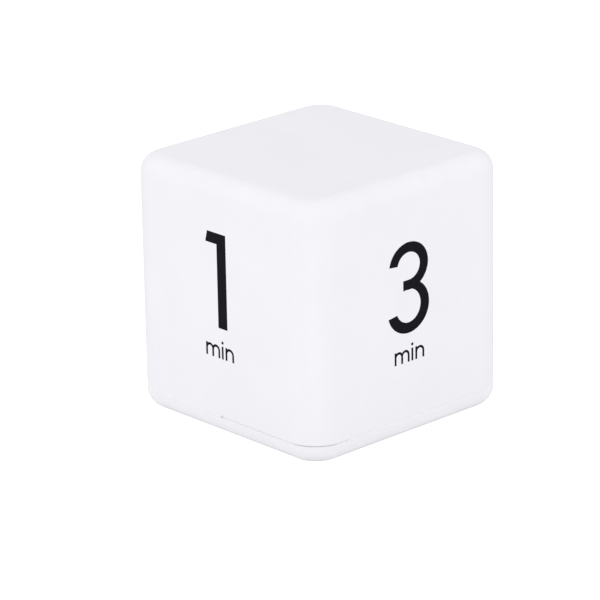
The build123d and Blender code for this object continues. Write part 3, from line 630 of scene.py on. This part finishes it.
def dress_nodes(finishes):
    for part in frame["record"]["subparts"]:
        name, slot_name = part["node"], part["material_slot"]
        finish = finishes.get(name) or finishes[slot_name]
        for place in nodes[name].material_slots:
            place.material = finish


# New pieces

FROM_BELOW = Matrix(((1, 0, 0, 0), (0, -1, 0, 0), (0, 0, -1, 0), (0, 0, 0, 1)))


def keep_mesh(name, shape, finish, body="housing"):
    bmesh.ops.recalc_face_normals(shape, faces=shape.faces)
    mesh = bpy.data.meshes.new(name)
    shape.to_mesh(mesh)
    shape.free()
    mesh.materials.append(finish)
    piece = bpy.data.objects.new(name, mesh)
    bpy.context.scene.collection.objects.link(piece)
    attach(piece, body)


def added(shape, before):
    return [v for v in shape.verts if v not in before]


# Words beside the switch: a film of ink against the floor of the switch's hollow

WORDS = (("ON", 4.2 * MM), ("OFF", 15.9 * MM))
WORDS_Y = -22 * MM
WORD_HEIGHT = 1.5 * MM
CAPITAL_SHARE = 0.72
FILM_T = 0.03 * MM
HOLLOW_FLOOR = 1.0 * MM


def write_text(shape, words, height, place, depth):
    letters = bpy.data.curves.new("letters", "FONT")
    letters.body = words
    letters.size = height / CAPITAL_SHARE
    letters.align_x = "CENTER"
    letters.align_y = "CENTER"
    letters.extrude = depth / 2
    holder = bpy.data.objects.new("letters", letters)
    bpy.context.scene.collection.objects.link(holder)
    bpy.context.view_layer.update()
    solid = bpy.data.meshes.new_from_object(holder.evaluated_get(bpy.context.evaluated_depsgraph_get()))
    solid.transform(Matrix.Translation(place) @ FROM_BELOW)
    shape.from_mesh(solid)
    bpy.data.objects.remove(holder)
    bpy.data.meshes.remove(solid)


def make_switch_words(finish):
    shape = bmesh.new()
    for words, x in WORDS:
        place = Vector((x, WORDS_Y, HOLLOW_FLOOR - FILM_T / 2))
        write_text(shape, words, WORD_HEIGHT, place, FILM_T)
    keep_mesh("switch_words", shape, finish)


# Display figures, in millimetres. A stroke's left, right, low and high ends are shares of the figure's size

STROKES = {
    "top": (0.12, 0.88, 0.90, 1.0), "middle": (0.12, 0.88, 0.45, 0.55), "bottom": (0.12, 0.88, 0.0, 0.10),
    "left_high": (0.0, 0.16, 0.52, 0.97), "left_low": (0.0, 0.16, 0.03, 0.48),
    "right_high": (0.84, 1.0, 0.52, 0.97), "right_low": (0.84, 1.0, 0.03, 0.48),
}
FIGURE_W = 3.6
FIGURE_H = 6.2
FIGURES_X = (-9.3, -3.8, 3.8, 9.3)
CUT_SHARE = 0.42
DOTS_Y = (-1.3, 1.3)
DOT_R = 0.42
DOT_SIDES = 16
FIGURE_T = 0.02
DISPLAY_PLACE = Vector((0.0, 22.2 * MM, 2.17 * MM))


def draw_stroke(shape, middle_x, ends):
    before = set(shape.verts)
    left, right, low, high = (end * size for end, size in zip(ends, (FIGURE_W, FIGURE_W, FIGURE_H, FIGURE_H)))
    made = bmesh.ops.create_grid(shape, x_segments=1, y_segments=1, size=0.5)["verts"]
    bmesh.ops.scale(shape, verts=made, vec=(right - left, high - low, 1))
    bmesh.ops.translate(shape, verts=made, vec=((left + right) / 2, (low + high) / 2, 0))
    bmesh.ops.bevel(shape, geom=made, offset=CUT_SHARE * min(right - left, high - low), affect="VERTICES",
                    segments=1, profile=0.5, material=-1)
    bmesh.ops.translate(shape, verts=added(shape, before), vec=(middle_x - FIGURE_W / 2, -FIGURE_H / 2, 0))


def draw_dots(shape):
    for y in DOTS_Y:
        dot = bmesh.ops.create_circle(shape, cap_ends=True, radius=DOT_R, segments=DOT_SIDES)["verts"]
        bmesh.ops.translate(shape, verts=dot, vec=(0, y, 0))


def keep_figures(name, shape, finish):
    bmesh.ops.solidify(shape, geom=shape.faces[:], thickness=FIGURE_T)
    bmesh.ops.scale(shape, verts=shape.verts, vec=(MM, MM, MM))
    bmesh.ops.transform(shape, verts=shape.verts, matrix=FROM_BELOW)
    bmesh.ops.translate(shape, verts=shape.verts, vec=DISPLAY_PLACE)
    keep_mesh(name, shape, finish)


def make_display_figures(lit_finish, unlit_finish):
    lit, unlit = bmesh.new(), bmesh.new()
    for x in FIGURES_X:
        for label, ends in STROKES.items():
            draw_stroke(unlit if label == "middle" else lit, x, ends)
    draw_dots(lit)
    # The figures read 00:00, so only their middle strokes are unlit
    keep_figures("display_figures", lit, lit_finish)
    keep_figures("display_ghosts", unlit, unlit_finish)


# Solder joints: a concave cone round each lead's end on the board, and one up and one down at its other end

BOARD_TOP = 9.0 * MM
BOARD_HOLES_X = (24.5 * MM, -20.0 * MM, -22.25 * MM, -24.5 * MM)
BOARD_HOLES_Y = 16.9 * MM
BOARD_JOINT = (1.0 * MM, 0.9 * MM)
END_JOINT = (0.85 * MM, 0.8 * MM)
BLADES_X = (7.5 * MM, 12.5 * MM)
PINS_X = (-7.5 * MM, -12.5 * MM)
FRONT_ROW_Y = -22.0 * MM
TABS_X = 25.1 * MM
JOINT_STEPS = 7
JOINT_CURVE = 2.2
JOINT_SIDES = 20
NECK_SHARE = 0.28
WELD = 0.002 * MM


def solder_joint(shape, place, radius, height):
    before = set(shape.verts)
    outline = []
    for step in range(JOINT_STEPS + 1):
        share = step / JOINT_STEPS
        flare = NECK_SHARE + (1 - NECK_SHARE) * (1 - share) ** JOINT_CURVE
        outline.append(shape.verts.new((radius * flare, 0, height * share)))
    outline.append(shape.verts.new((0, 0, height)))
    foot = shape.verts.new((0, 0, 0))
    edges = [shape.edges.new(pair) for pair in zip([foot] + outline, outline)]
    bmesh.ops.spin(shape, geom=edges + outline + [foot], cent=(0, 0, 0), axis=(0, 0, 1), angle=math.tau,
                   steps=JOINT_SIDES, use_merge=True, use_duplicate=False)
    bmesh.ops.remove_doubles(shape, verts=added(shape, before), dist=WELD)
    bmesh.ops.translate(shape, verts=added(shape, before), vec=place)


def make_solder(finish):
    shape = bmesh.new()
    for x in BOARD_HOLES_X:
        solder_joint(shape, (x, BOARD_HOLES_Y, BOARD_TOP), *BOARD_JOINT)
    blade_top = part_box("switch_terminals")[1].z
    pin_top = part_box("sounder_base")[1].z
    tab_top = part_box("positive_contact")[1].z
    ends = [(x, FRONT_ROW_Y, blade_top) for x in BLADES_X]
    ends += [(x, FRONT_ROW_Y, pin_top) for x in PINS_X]
    ends += [(TABS_X, y, tab_top) for y in (-CELL_Y, CELL_Y)]
    radius, height = END_JOINT
    for place in ends:
        solder_joint(shape, place, radius, -height)
        solder_joint(shape, place, radius, height)
    keep_mesh("solder_joints", shape, finish)


# Studio: white floor, even white surround and one large soft light

FRONT_WAY = (0.66, -0.67, 0.33)
FLOOR_R = 3.0
FLOOR_SIDES = 96
FLOOR_DROP = 0.05 * MM
UNDER_CUBE = (26 * MM, 34 * MM)
OPEN_FLOOR = (40 * MM, 130 * MM)
CONTACT_RISE = (28 * MM, 31 * MM)
CONTACT_FALL = (31 * MM, 35 * MM)
BESIDE_GLOW = 0.50
OPEN_GLOW = 0.56
SEEN_GLOW = 0.80
CONTACT_SHADE = -0.17
MIRRORED_RANGE = (-5 * MM, 60 * MM)
MIRRORED_SHADE = (-0.10, -0.42)
SURROUND_RANGE = (-0.85, 0.0)
SURROUND_LIGHT = (0.76, 1.13)
BOX_WAY = (0.3, -0.75, 0.85)
BOX_AWAY = 1.2
BOX_SIDE = 0.7
BOX_POWER = 0.80
PAPER_DARK = (0.54, 0.54, 0.54)
PAPER_LIGHT = (0.56, 0.56, 0.56)


# The paper lights the cube from below: less beside it, at its foot and in the mirror image on its sides

def floor_finish():
    finish, tree, shader = new_finish("Lit studio paper", Roughness=0.9, Specular_IOR_Level=0.0,
                                      Emission_Color=(1, 1, 1, 1))
    place = object_place(tree)
    axes = axes_of(tree, place)
    x, y = axes[0], axes[1]
    away = distance(tree, x, y)
    under = spread(tree, away, *UNDER_CUBE, 1.0, 0.0, smooth=True)
    beyond = spread(tree, away, *OPEN_FLOOR, smooth=True)
    glow = spread(tree, reckon(tree, "MAXIMUM", under, beyond), 0.0, 1.0, BESIDE_GLOW, OPEN_GLOW)
    reach = reckon(tree, "MAXIMUM", size_of(tree, x), size_of(tree, y))
    touch = product(tree, spread(tree, reach, *CONTACT_RISE, smooth=True),
                    spread(tree, reach, *CONTACT_FALL, 1.0, 0.0, smooth=True))
    glow = reckon(tree, "MULTIPLY_ADD", touch, CONTACT_SHADE, glow, clamp=True)
    rays = put(tree, "ShaderNodeLightPath").outputs
    behind_x, behind_y = (product(tree, axis, -share) for axis, share in zip((x, y), FRONT_WAY))
    behind = reckon(tree, "ADD", behind_x, behind_y)
    shade = spread(tree, behind, *MIRRORED_RANGE, *MIRRORED_SHADE, smooth=True)
    glow = reckon(tree, "MULTIPLY_ADD", rays["Is Glossy Ray"], shade, glow, clamp=True)
    join(tree, shader, Emission_Strength=spread(tree, rays["Is Camera Ray"], 0.0, 1.0, glow, SEEN_GLOW))
    grain = noise(tree, place, 400.0, detail=3.0)
    join(tree, shader, Base_Color=tint(tree, grain, PAPER_DARK, PAPER_LIGHT))
    clear = put(tree, "ShaderNodeBsdfTransparent").outputs[0]
    from_below = put(tree, "ShaderNodeNewGeometry").outputs["Backfacing"]
    mix = put(tree, "ShaderNodeMixShader", None, {0: from_below, 1: shader.outputs[0], 2: clear})
    tree.links.new(mix.outputs[0], tree.nodes["Material Output"].inputs["Surface"])
    return finish


def lay_floor():
    shape = bmesh.new()
    bmesh.ops.create_circle(shape, cap_ends=True, radius=FLOOR_R, segments=FLOOR_SIDES)
    bmesh.ops.translate(shape, verts=shape.verts, vec=(0, 0, -FLOOR_DROP))
    mesh = bpy.data.meshes.new("studio_floor")
    shape.to_mesh(mesh)
    shape.free()
    mesh.materials.append(floor_finish())
    floor = bpy.data.objects.new("studio_floor", mesh)
    bpy.context.scene.collection.objects.link(floor)


def hang_surround():
    world = bpy.data.worlds.new("White surround")
    world.use_nodes = True
    bpy.context.scene.world = world
    tree = world.node_tree
    toward = put(tree, "ShaderNodeTexCoord").outputs["Generated"]
    front = put(tree, "ShaderNodeVectorMath", {"operation": "DOT_PRODUCT"}, {0: toward, 1: FRONT_WAY})
    light = spread(tree, front.outputs["Value"], *SURROUND_RANGE, *SURROUND_LIGHT, smooth=True)
    lit = put(tree, "ShaderNodeBackground", None, {"Color": (1, 1, 1, 1), "Strength": light}).outputs[0]
    seen = put(tree, "ShaderNodeBackground", None, {"Color": (1, 1, 1, 1), "Strength": 1.0}).outputs[0]
    ray = put(tree, "ShaderNodeLightPath").outputs["Is Camera Ray"]
    mix = put(tree, "ShaderNodeMixShader", None, {0: ray, 1: lit, 2: seen})
    tree.links.new(mix.outputs[0], tree.nodes["World Output"].inputs["Surface"])


def hang_soft_box():
    lamp = bpy.data.lights.new("Front soft box", "AREA")
    lamp.shape = "SQUARE"
    lamp.size = BOX_SIDE
    lamp.energy = BOX_POWER
    soft_box = bpy.data.objects.new("Front soft box", lamp)
    toward_box = Vector(BOX_WAY).normalized()
    facing = toward_box.to_track_quat("Z", "Y").to_matrix().to_4x4()
    soft_box.matrix_world = Matrix.Translation(toward_box * BOX_AWAY) @ facing
    bpy.context.scene.collection.objects.link(soft_box)


def set_studio():
    lay_floor()
    hang_surround()
    hang_soft_box()
    bpy.context.scene.view_settings.view_transform = "Standard"
    bpy.context.scene.view_settings.look = "None"


aim_camera()
finishes = {**make_plastic_finishes(), **make_display_finishes(), **make_metal_finishes(),
            **make_board_and_cell_finishes()}
dress_nodes(finishes)
make_switch_words(finishes["black_ink"])
make_display_figures(finishes["black_ink"], finishes["unlit_stroke"])
make_solder(finishes["solder"])
set_studio()
